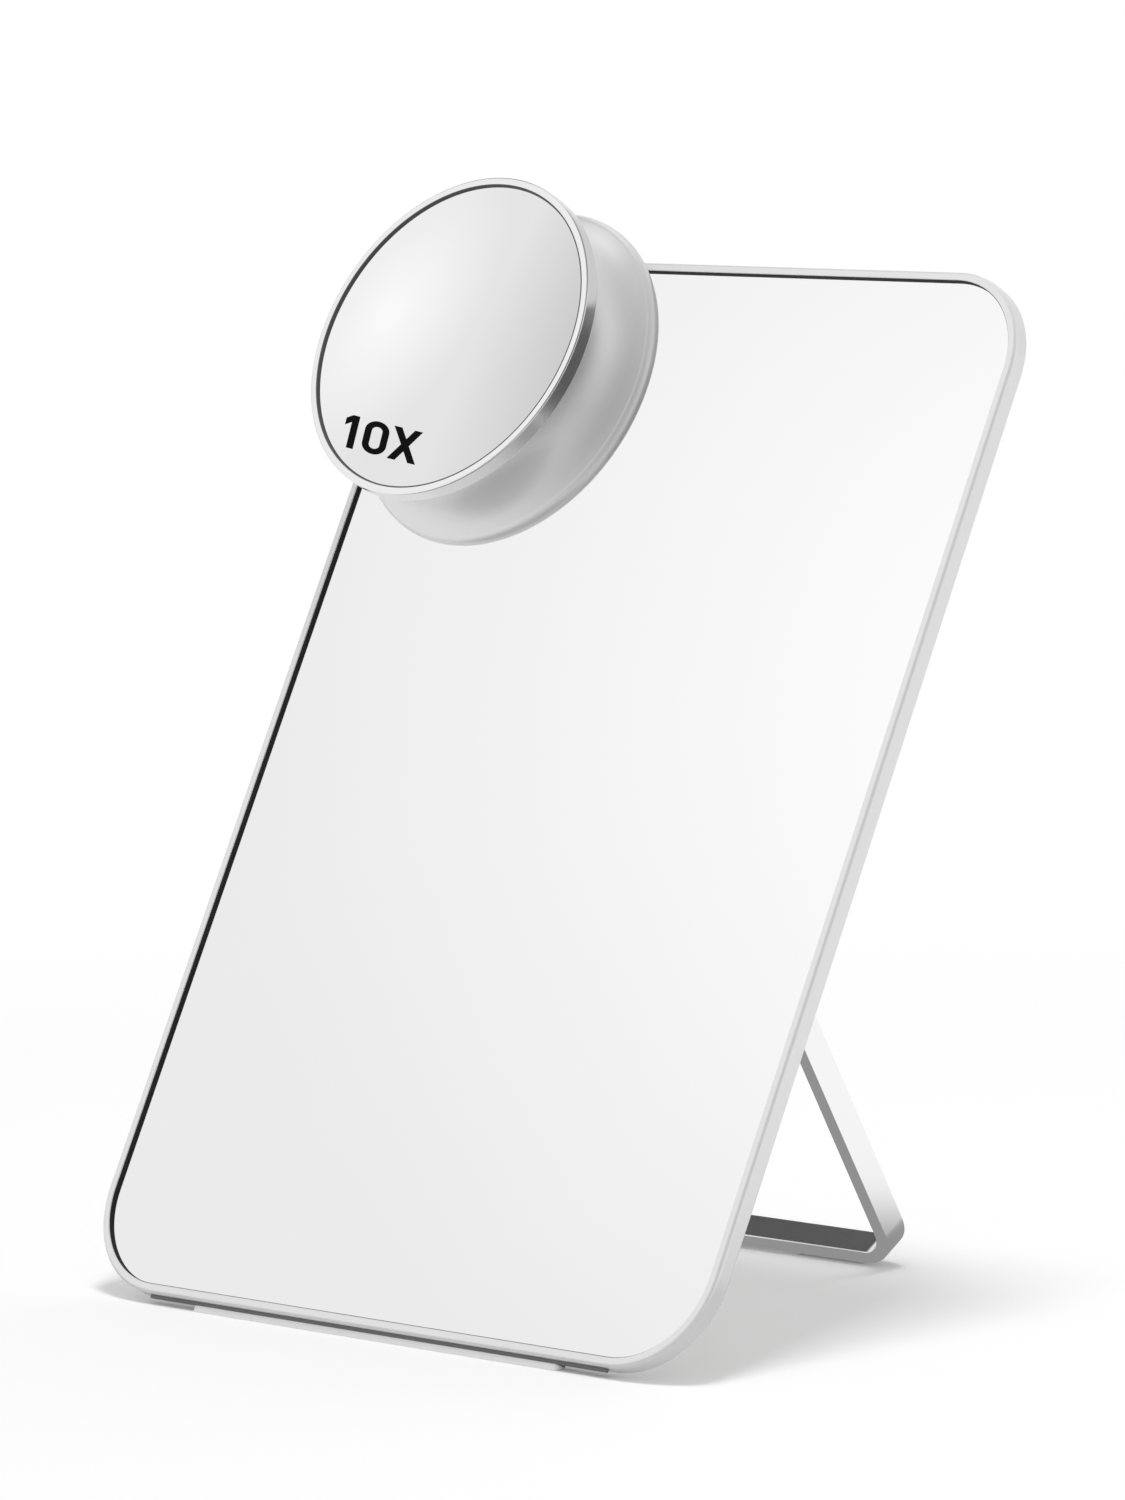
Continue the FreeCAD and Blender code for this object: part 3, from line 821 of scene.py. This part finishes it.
@dataclass
class Stand:
    """The folding loop in its own frame: x across, y through its width, z up from the hinge."""

    places: Places
    width: float = 92.0
    strip_t: float = 3.5
    strip_w: float = 8.0
    bend_r: float = 10.0
    bend_steps: int = 16
    edge_r: float = 0.4
    shoulder_steps: int = 10
    heel_r: float = 1.0
    heel_steps: int = 6
    bush_r: float = 2.8
    bore_steps: int = 64
    foot_l: float = 22.0
    foot_w: float = 3.0
    foot_inset: float = 0.6
    foot_from_bend: float = 2.0
    foot_proud: float = 0.5
    foot_edge_r: float = 0.3
    foot_sharp_deg: float = 40.0

    @property
    def prop(self) -> float:
        """The stand's own lean from upright, in radians."""
        return self.places.fold - self.places.lean

    @property
    def length(self) -> float:
        """How far the crossbar's underside lies below the hinge."""
        drop = self.places.hinge_height - self.strip_w / 2 * math.sin(self.prop) - self.foot_proud
        return drop / math.cos(self.prop)

    def strip_loop(self) -> Object:
        """The loop: a heeled arm, a bend and half the crossbar, mirrored, eased and drilled.

        Returns:
            The loop, in edit mode.
        """
        half = self.strip_w / 2
        fold = self.places.fold
        rise = half * (1 + math.cos(fold)) / math.sin(fold)
        heel_z = half * math.sin(fold) + rise * math.cos(fold)
        outside, inside = self.width / 2, self.width / 2 - self.strip_t
        bend_z = self.bend_r - self.length
        shoulder = [fold * i / self.shoulder_steps for i in range(self.shoulder_steps + 1)]
        heel_setback = self.heel_r / math.tan(fold / 2)
        outline = [
            Corner((inside, -half, bend_z)),
            *(Corner((inside, -half * math.cos(a), half * math.sin(a))) for a in shoulder),
            Corner((inside, half, heel_z), heel_setback, self.heel_steps),
            Corner((inside, half, bend_z)),
        ]
        piece = extrude_outline("strip_loop", outline, (self.strip_t, 0, 0))
        choose(piece, Part.FACES, lambda point: abs(point.z - bend_z) < SAME_PLACE)
        bpy.ops.mesh.delete(type="ONLY_FACE")
        choose(piece, Part.EDGES, lambda point: abs(point.z - bend_z) < SAME_PLACE)
        centre = (outside - self.bend_r, 0, bend_z)
        bpy.ops.mesh.spin(steps=self.bend_steps, angle=-math.pi / 2, center=centre, axis=(0, 1, 0))
        pull(self.bend_r - outside, 0, 0)
        editing(False)
        apply_modifier(piece, "MIRROR", use_axis=(True, False, False), merge_threshold=SAME_PLACE)
        editing(True)
        weld()
        ease_edges(self.edge_r, FINE_STEPS)
        editing(False)
        bpy.ops.mesh.primitive_cylinder_add(
            vertices=self.bore_steps,
            radius=self.bush_r,
            depth=2 * self.width,
            rotation=(0, math.pi / 2, 0),
        )
        drill = bpy.context.object
        bpy.context.view_layer.objects.active = piece
        apply_modifier(piece, "BOOLEAN", operation="DIFFERENCE", solver="EXACT", object=drill)
        bpy.data.objects.remove(drill)
        piece.select_set(True)
        editing(True)
        weld()
        return piece

    def stand_pad(self) -> Object:
        """The right one of two soft pads under the crossbar, eased and cut flat for the table.

        Returns:
            The pad, in edit mode.
        """
        high, prop, top = self.places.hinge_height, self.prop, -self.length
        front = self.foot_inset - self.strip_w / 2
        x = self.width / 2 - self.bend_r - self.foot_from_bend - self.foot_l
        back = front + self.foot_w
        sides = [(front, top), (back, top)]
        sides += [(y, -(high + y * math.sin(prop)) / math.cos(prop)) for y in (back, front)]
        outline = [Corner((x, y, z)) for y, z in sides]
        piece = extrude_outline("stand_pad_right", outline, (self.foot_l, 0, 0))
        ease_edges(self.foot_edge_r, FINE_STEPS, self.foot_sharp_deg)
        return piece

    def build(self) -> None:
        """Model the loop and its pads, lay them in the frame and dress all of the stand."""
        place = self.places.stand
        loop = self.strip_loop()
        settle(loop, place)
        dress(loop, DRAWN_ALUMINIUM.material(place), "stand", "stand_aluminium", "stand_loop")
        right = self.stand_pad()
        settle(right, place)
        bpy.ops.object.duplicate()
        left = bpy.context.object
        left.name = left.data.name = "stand_pad_left"
        middle = (self.width / 2 - self.bend_r - self.foot_from_bend - self.foot_l / 2) * MM
        bpy.ops.transform.translate(value=(-2 * middle, 0, 0))
        bpy.ops.object.transform_apply(location=True, rotation=True, scale=True)
        for pad in (right, left):
            dress(pad, CLEAR_SILICONE.material(), "stand", "soft_grey", "stand_feet")
        dress_nodes({"pivot_bushes": MOULDED_NYLON.material()})


@dataclass
class Magnifier:
    """The round magnifier in its own frame: z along its axis, 0 at the front of the panel's lip."""

    front: float = 28.5
    bezel_r: float = 43.4
    bezel_h: float = 4.3
    bezel_wall: float = 1.1
    bezel_lip_w: float = 1.9
    bezel_lip_t: float = 0.8
    bezel_front_r: float = 0.45
    bezel_rear_r: float = 0.5
    bezel_lip_r: float = 0.2
    bezel_steps: int = 6
    gap: float = 0.15
    seat: float = 0.05
    glass_t: float = 1.6
    glass_curve_r: float = 450.0
    glass_steps: int = 24
    glass_arris: float = 0.15
    cushion_t: float = 0.6
    cushion_w: float = 5.5
    cushion_inset: float = 1.2
    cushion_edge_r: float = 0.2
    base_off: float = 0.4
    flange_r: float = 45.6
    bead_r: float = 2.4
    bead_top_deg: float = 75.0
    bead_steps: int = 16
    low_flare_steps: int = 24
    high_flare_steps: int = 16
    groove_depth: float = 6.6
    neck_below_bezel: float = 5.6
    wall: float = 2.2
    floor_t: float = 2.0
    magnet_t: float = 4.0
    yoke_t: float = 2.0
    pocket_r: float = 24.15
    plate_r: float = 36.1
    plate_t: float = 1.6
    pad_r: float = 30.0
    pad_low: float = -1.05
    pad_edge_r: float = 0.5
    pad_edge_steps: int = 4
    pad_groove_w: float = 1.2
    pad_groove_depth: float = 0.4
    pad_grooves_at: tuple[float, ...] = (10.0, 17.0, 24.0)
    seal_w: float = 0.5
    seal_top_w: float = 0.28
    seal_edge_r: float = 0.07
    seal_below_lip: float = 0.03
    mark_h: float = 8.7
    mark_stroke: float = 1.48
    mark_flag: float = 1.3
    mark_flag_drop: float = 1.1
    mark_flag_t: float = 1.85
    mark_zero_at: float = 3.0
    mark_zero_w: float = 5.25
    mark_zero_steps: int = 16
    mark_cross_at: float = 8.9
    mark_cross_w: float = 6.33
    mark_cross_stroke: float = 1.74
    mark_stretch: float = 1.66
    mark_lean: float = -0.325
    mark_turn_deg: float = -8.1
    mark_corner: tuple[float, float] = (-22.4, -31.15)
    ink_t: float = 0.03

    @property
    def bezel_low(self) -> float:
        """Height of the bezel's rear edge."""
        return self.front - self.bezel_h

    @property
    def glass_r(self) -> float:
        """Radius of the small mirror."""
        return self.bezel_r - self.bezel_wall - self.gap

    def hollow(self, behind: float, r: float) -> float:
        """Height of a surface that follows the hollow glass.

        Args:
            behind: How far the surface lies behind the glass's face.
            r: Radius where the height is wanted.

        Returns:
            The height along the axis.
        """
        rim = self.front - self.bezel_lip_t - self.seat
        centre = rim + math.sqrt(self.glass_curve_r**2 - self.glass_r**2)
        return centre - math.sqrt((self.glass_curve_r + behind) ** 2 - r**2)

    def hollow_run(self, behind: float, start_r: float, end_r: float) -> list[Row]:
        """Follow such a surface from one radius to another.

        Args:
            behind: How far the surface lies behind the glass's face.
            start_r: Radius of the first row.
            end_r: Radius of the last row.

        Returns:
            Rows of a half section.
        """
        steps = self.glass_steps
        radii = [start_r + (end_r - start_r) * i / steps for i in range(steps + 1)]
        return [(r, self.hollow(behind, r)) for r in radii]

    def bezel_ring(self) -> Object:
        """The turned ring whose lip holds the small mirror.

        Returns:
            The ring, in edit mode.
        """
        bore, lip = self.bezel_r - self.bezel_wall, self.bezel_r - self.bezel_lip_w
        under = self.front - self.bezel_lip_t
        section = [
            (bore, self.bezel_low),
            (self.bezel_r, self.bezel_low, self.bezel_rear_r, self.bezel_steps),
            (self.bezel_r, self.front, self.bezel_front_r, self.bezel_steps),
            (lip, self.front, self.bezel_lip_r, FINE_STEPS),
            (lip, under),
            (bore, under),
        ]
        return turn_on_lathe("bezel_ring", section, closed=True)

    def hollow_mirror(self) -> Object:
        """The small mirror, hollow on both faces, with a ground edge.

        Returns:
            The mirror, in edit mode.
        """
        face = self.hollow_run(0, 0, self.glass_r)
        back = self.hollow_run(self.glass_t, self.glass_r, 0)
        piece = turn_on_lathe("hollow_mirror", face + back, closed=False)
        ease_edges(self.glass_arris, ARRIS_STEPS)
        return piece

    def cushion_ring(self) -> Object:
        """The soft ring behind the small mirror, with rounded edges.

        Returns:
            The ring, in edit mode.
        """
        outer = self.glass_r - self.cushion_inset
        inner = outer - self.cushion_w
        top = self.glass_t + self.seat
        front = self.hollow_run(top, inner, outer)
        back = self.hollow_run(top + self.cushion_t, outer, inner)
        piece = turn_on_lathe("cushion_ring", front + back, closed=True)
        ease_edges(self.cushion_edge_r, FINE_STEPS)
        return piece

    def flare(self, end: Row, steps: int) -> list[Row]:
        """Arc that leaves the neck along the axis and sweeps out to an end point.

        Args:
            end: Radius and height of the end.
            steps: Straight pieces along it.

        Returns:
            Rows from the neck to the end.
        """
        neck_r = self.bezel_r - self.groove_depth
        neck_z = self.bezel_low - self.neck_below_bezel
        run, rise = end[0] - neck_r, end[1] - neck_z
        radius = (run**2 + rise**2) / (2 * run)
        sweep = math.degrees(math.atan2(abs(rise), radius - run))
        return arc((neck_r + radius, neck_z), radius, 180, 180 - math.copysign(sweep, rise), steps)

    def waisted_body(self) -> Object:
        """The body: beaded base, flares to neck and bezel, and the hollows behind the mirror.

        Returns:
            The body, in edit mode.
        """
        bead = (self.flange_r - self.bead_r, self.base_off + self.bead_r)
        bead_run = arc(bead, self.bead_r, -90, self.bead_top_deg, self.bead_steps)
        plate_top = self.base_off + self.plate_t
        pocket_top = self.base_off + self.magnet_t + self.yoke_t + self.seat
        cavity_r = self.bezel_r - self.groove_depth - self.wall
        dish = self.glass_t + self.cushion_t + 2 * self.seat
        section = [
            (0, pocket_top),
            (self.pocket_r, pocket_top),
            (self.pocket_r, plate_top),
            (self.plate_r, plate_top),
            (self.plate_r, self.base_off),
            *bead_run,
            *self.flare(bead_run[-1], self.low_flare_steps)[-2::-1],  # in to the neck
            *self.flare((self.glass_r, self.bezel_low), self.high_flare_steps)[1:],  # and out
            *self.hollow_run(dish, self.glass_r, cavity_r),
            (cavity_r, pocket_top + self.floor_t),
            (0, pocket_top + self.floor_t),
        ]
        return turn_on_lathe("waisted_body", section, closed=False)

    def grip_pad(self) -> Object:
        """The soft disc that lies on the big glass, with moulded grooves underneath.

        Returns:
            The disc, in edit mode.
        """
        half, low = self.pad_groove_w / 2, self.pad_low
        deep = low + self.pad_groove_depth
        section = [(0, low)]
        for r in self.pad_grooves_at:
            section += [(r - half, low), (r - half, deep), (r + half, deep), (r + half, low)]
        for z in (low, self.base_off):
            section.append((self.pad_r, z, self.pad_edge_r, self.pad_edge_steps))
        section.append((0, self.base_off))
        return turn_on_lathe("grip_pad", section, closed=False)

    def rim_seal(self) -> Object:
        """The grey fillet that seals the small mirror against the inside of the bezel's lip; its
        grey up the lip's wall is painted shade of that recess.

        Returns:
            The fillet, in edit mode.
        """
        outer = self.bezel_r - self.bezel_lip_w
        inner = outer - self.seal_w
        top = self.front - self.seal_below_lip
        section = [
            (outer, self.hollow(0, outer)),
            (outer, top),
            (outer - self.seal_top_w, top, self.seal_edge_r, FINE_STEPS),
            (inner, self.hollow(0, inner)),
        ]
        return turn_on_lathe("rim_seal", section, closed=True)

    def ink_block(self, name: str, outline: Sequence[tuple[float, float]]) -> Object:
        """Print a figure from its flat outline, as thick as the ink."""
        return extrude_outline(name, [Corner((x, y, 0)) for x, y in outline], (0, 0, self.ink_t))

    def figure_one(self) -> Object:
        """A one: a stem with a flag to its left.

        Returns:
            The figure, in edit mode.
        """
        stem, high, flag = self.mark_stroke, self.mark_h, self.mark_flag
        tip = high - self.mark_flag_drop
        root = high - self.mark_flag_t
        outline = [(0, 0), (stem, 0), (stem, high), (0, high), (-flag, tip)]
        outline += [(-flag, tip - self.mark_flag_t), (0, root)]
        return self.ink_block("figure_one", outline)

    def figure_zero(self) -> Object:
        """A nought: an upright slot shape with an even stroke.

        Returns:
            The figure, in edit mode.
        """
        left, right = self.mark_zero_at, self.mark_zero_at + self.mark_zero_w
        turn = self.mark_zero_w / 2 - SAME_PLACE
        outline = ((left, 0), (right, 0), (right, self.mark_h), (left, self.mark_h))
        corners = [Corner((x, y, 0), turn, self.mark_zero_steps) for x, y in outline]
        piece = draw_outline("figure_zero", corners)
        bpy.ops.mesh.edge_face_add()
        bpy.ops.mesh.inset(thickness=self.mark_stroke, depth=0)
        bpy.ops.mesh.delete(type="FACE")
        choose_all(Part.FACES)
        pull(0, 0, self.ink_t)
        weld()
        return piece

    def figure_cross(self) -> Object:
        """The sign for times: two bars that cross.

        Returns:
            The sign, in edit mode.
        """
        wide, high, bar = self.mark_cross_w, self.mark_h, self.mark_cross_stroke
        notch_x, notch_y = bar / 2, high * bar / 2 / (wide - bar)
        x, y = wide / 2, high / 2
        right = [(0, notch_y), (x - bar, y), (x, y), (notch_x, 0), (x, -y), (x - bar, -y)]
        outline = right + [(-across, -up) for across, up in right]
        middle = self.mark_cross_at + x
        return self.ink_block("figure_cross", [(middle + across, y + up) for across, up in outline])

    def printed_mark(self) -> Object:
        """The magnification figure, printed on the hollow glass.

        Returns:
            The print, in edit mode.
        """
        figures = []
        for draw in (self.figure_one, self.figure_zero, self.figure_cross):
            figures.append(draw())
            editing(False)
        for figure in figures:
            figure.select_set(True)
        bpy.ops.object.join()
        piece = bpy.context.object
        piece.name = piece.data.name = "printed_mark"
        slant = Matrix.Identity(4)
        slant[0][:2] = self.mark_stretch, self.mark_lean
        turn = Matrix.Rotation(math.radians(self.mark_turn_deg), 4, "Z")
        piece.data.transform(Matrix.Translation((*self.mark_corner, 0)) @ turn @ slant)
        for point in piece.data.vertices:
            point.co.z += self.hollow(0, point.co.xy.length)
        editing(True)
        weld()
        return piece

    def build(self, places: Places) -> None:
        """Model the pieces that show, lay them in the frame and dress all of the magnifier.

        Args:
            places: Where the sub-assemblies lie.
        """
        place = places.magnifier
        for model, look, slot, nodes in (
            (self.bezel_ring, TURNED_ALUMINIUM, "bezel_aluminium", ["magnifier_bezel"]),
            (self.hollow_mirror, BENT_SILVER, "small_mirror", ["magnifier_glass"]),
            (self.cushion_ring, EXTRUDED_RUBBER, "foam", ["glass_cushion"]),
            (self.waisted_body, SILVER_LACQUER, "housing_silver", ["magnifier_housing"]),
            (self.grip_pad, MOULDED_SILICONE, "soft_grey", ["contact_pad"]),
            (self.rim_seal, SEALANT_AS_PAINTED_SHADE, "dark_gasket", []),
            (self.printed_mark, SCREEN_INK, None, []),
        ):
            made = model()
            settle(made, place)
            dress(made, look.material(place), "magnifier", slot, *nodes)
            made.visible_glossy = False
        kept = {
            "magnets": NICKEL_PLATE.material(),
            "magnet_yoke": ROLLED_STEEL.material(),
            "base_plate": MOULDED_GREY.material(),
            "base_screws": TURNED_STEEL.material(),
        }
        dress_nodes(kept)
        for name in kept:
            frame["nodes"][name].visible_glossy = False


@dataclass(frozen=True)
class Lobe:
    """A soft patch of the surroundings that only reflections show.

    Attributes:
        towards: Direction from the object to its middle.
        inner_deg: Where it starts to fade, from its middle.
        outer_deg: Where it has faded out.
        colour: Its colour, sRGB hex.
    """

    towards: Triple
    inner_deg: float
    outer_deg: float
    colour: str


@dataclass
class Studio:
    """Camera, light, surroundings and floor. Lengths in metres."""

    lens_mm: float = 180.8
    sensor_mm: float = 36.0
    clip_end: float = 100.0
    aim: Triple = (0.0239, 0.0450, 0.1381)
    distance: float = 1.7916
    yaw_deg: float = 42.50
    pitch_deg: float = 7.03
    roll_deg: float = -1.29
    fill: float = 0.67
    key_at: Triple = (0.19, 0.10, 2.0)
    key_size: float = 0.45
    key_watts: float = 14.0
    surround: str = "#E6E6E6"
    window_strength: float = 1.236
    lobes: tuple[Lobe, ...] = (
        Lobe((-0.865, -0.27, 0.423), 0.0, 15.3, "#ABABAB"),
        Lobe((-0.612, -0.516, 0.60), 0.6, 7.0, "#FAFAFA"),
        Lobe((0.05, 0.88, 0.47), 25.0, 45.0, "#C4C4C4"),
        Lobe((0.15, 0.10, 0.98), 22.0, 48.0, "#8C8C8C"),
        Lobe((0.60, -0.65, 0.46), 18.0, 60.0, "#565656"),
        Lobe((-0.67, 0.26, 0.69), 8.0, 26.0, "#3A3A3A"),
        Lobe((-0.33, 0.36, 0.87), 8.0, 18.0, "#FFFFFF"),
    )
    floor_half: float = 20.0
    floor_colour: str = "#FFFFFF"
    floor_white: tuple[float, float] = (0.3, 0.7)
    # Painted shade on the floor that only reflections see: a painted shadow close to the object,
    # and darker floor towards the camera's side.
    painted_shadow_near: tuple[float, float] = (0.16, 0.27)
    painted_shadow_near_tone: float = 0.31
    painted_shade_side_at: Triple = (1.8, -2.0, 0.0)
    painted_shade_side: tuple[float, float] = (1.5, 2.9)
    painted_shade_side_tone: float = 0.36

    def camera(self) -> None:
        """Set the camera where the photograph was taken from."""
        yaw, pitch, roll = (math.radians(a) for a in (self.yaw_deg, self.pitch_deg, self.roll_deg))
        level = Vector((math.cos(yaw), math.sin(yaw), 0))
        far = math.cos(pitch)
        back = Vector((math.sin(yaw) * far, -math.cos(yaw) * far, math.sin(pitch)))
        up = back.cross(level)
        turned = math.cos(roll) * level + math.sin(roll) * up
        upright = math.cos(roll) * up - math.sin(roll) * level
        bpy.ops.object.camera_add()
        made = bpy.context.object
        made.name = "view"
        made.data.lens = self.lens_mm
        made.data.sensor_width = self.sensor_mm
        made.data.clip_end = self.clip_end
        basis = Matrix((turned, upright, back)).transposed().to_4x4()
        made.matrix_world = Matrix.Translation(Vector(self.aim) + back * self.distance) @ basis
        bpy.context.scene.camera = made

    def key_light(self) -> None:
        """Hang a soft lamp high above the object, unseen by reflections."""
        bpy.ops.object.light_add(type="AREA")
        made = bpy.context.object
        made.name = "key"
        made.data.energy = self.key_watts
        made.data.size = self.key_size
        made.location = self.key_at
        aim = Vector(self.aim) - Vector(self.key_at)
        made.rotation_mode = "QUATERNION"
        made.rotation_quaternion = aim.to_track_quat("-Z", "Y")
        made.visible_glossy = False

    def surroundings(self) -> None:
        """Light the object evenly, show reflections a soft room and the camera plain white."""
        world = bpy.data.worlds.new("studio")
        bpy.context.scene.world = world
        add = partial(add_node, bare_tree(world))
        path = add("ShaderNodeLightPath").outputs
        towards = add("ShaderNodeTexCoord").outputs["Generated"]
        seen: object = linear(self.surround)
        for lobe in self.lobes:
            facing = add(
                "ShaderNodeVectorMath",
                {0: towards, 1: Vector(lobe.towards).normalized()},
                operation="DOT_PRODUCT",
            ).outputs["Value"]
            angle = add("ShaderNodeMath", {0: facing}, operation="ARCCOSINE")
            far, near = math.radians(lobe.outer_deg), math.radians(lobe.inner_deg)
            share = add("ShaderNodeMapRange", {"Value": angle, "From Min": far, "From Max": near})
            seen = add(
                "ShaderNodeMix",
                {SHARE: share, FIRST: seen, SECOND: linear(lobe.colour)},
                data_type="RGBA",
            ).outputs[MIXED]
        light, mirrored, plain = (
            add("ShaderNodeBackground", {"Color": colour, "Strength": strength})
            for colour, strength in (
                (WHITE, self.fill),
                (seen, self.window_strength),
                (WHITE, 1.0),
            )
        )
        straight = add(
            "ShaderNodeMath",
            {0: path["Is Camera Ray"], 1: path["Is Transmission Ray"]},
            operation="MAXIMUM",
        )
        room = add("ShaderNodeMixShader", {0: path["Is Glossy Ray"], 1: light, 2: mirrored})
        shown = add("ShaderNodeMixShader", {0: straight, 1: room, 2: plain})
        add("ShaderNodeOutputWorld", {"Surface": shown})

    def floor(self) -> None:
        """Lay a pale floor that keeps the shadow by the object and turns plain white beyond;
        reflections see painted shade on it instead, a painted shadow near the object and darker
        towards the camera's side.
        """
        bpy.ops.object.select_all(action="DESELECT")
        bpy.ops.mesh.primitive_plane_add(size=2 * self.floor_half)
        made = bpy.context.object
        made.name = made.data.name = "floor"
        look = bpy.data.materials.new("white board, matt")
        add = partial(add_node, bare_tree(look))
        path = add("ShaderNodeLightPath").outputs
        spot = add("ShaderNodeTexCoord").outputs["Object"]
        away, aside = (
            add("ShaderNodeVectorMath", inputs, operation=measure).outputs["Value"]
            for inputs, measure in (
                ({0: spot}, "LENGTH"),
                ({0: spot, 1: self.painted_shade_side_at}, "DISTANCE"),
            )
        )
        share, near, side = (
            add(
                "ShaderNodeMapRange",
                {"Value": value, "From Min": start, "From Max": end, "To Min": least},
                interpolation_type="SMOOTHSTEP",
            )
            for value, (start, end), least in (
                (away, self.floor_white, 0.0),
                (away, self.painted_shadow_near, self.painted_shadow_near_tone),
                (aside, self.painted_shade_side, self.painted_shade_side_tone),
            )
        )
        # What reflections see of the floor is painted shade: darker near the object as a painted
        # shadow, and darker towards the camera's side.
        white, reflected_painted_shade = (
            add("ShaderNodeMath", {0: first, 1: second}, operation="MULTIPLY")
            for first, second in ((share, path["Is Camera Ray"]), (near, side))
        )
        board = add("ShaderNodeBsdfDiffuse", {"Color": linear(self.floor_colour)})
        plain, mirrored = (
            add("ShaderNodeEmission", {"Color": WHITE, "Strength": strength})
            for strength in (1.0, reflected_painted_shade)
        )
        straight = add("ShaderNodeMixShader", {0: white, 1: board, 2: plain})
        shown = add("ShaderNodeMixShader", {0: path["Is Glossy Ray"], 1: straight, 2: mirrored})
        add("ShaderNodeOutputMaterial", {"Surface": shown})
        made.data.materials.append(look)

    def build(self) -> None:
        """Set up everything round the object."""
        self.camera()
        self.key_light()
        self.surroundings()
        self.floor()
        bpy.context.scene.view_settings.view_transform = "Standard"


def main() -> None:
    """Build the sub-assemblies and the studio in order."""
    logging.basicConfig(level=logging.INFO, format="%(message)s")
    panel, magnifier = Panel(), Magnifier()
    places = Places.from_frame(
        panel.glass_front,
        panel.glass_front + panel.glass_t,
        panel.sheet_inset,
        (magnifier.pad_low + magnifier.base_off) / 2,
    )
    panel.build(places)
    Stand(places).build()
    magnifier.build(places)
    Studio().build()


if __name__ == "__main__":
    main()
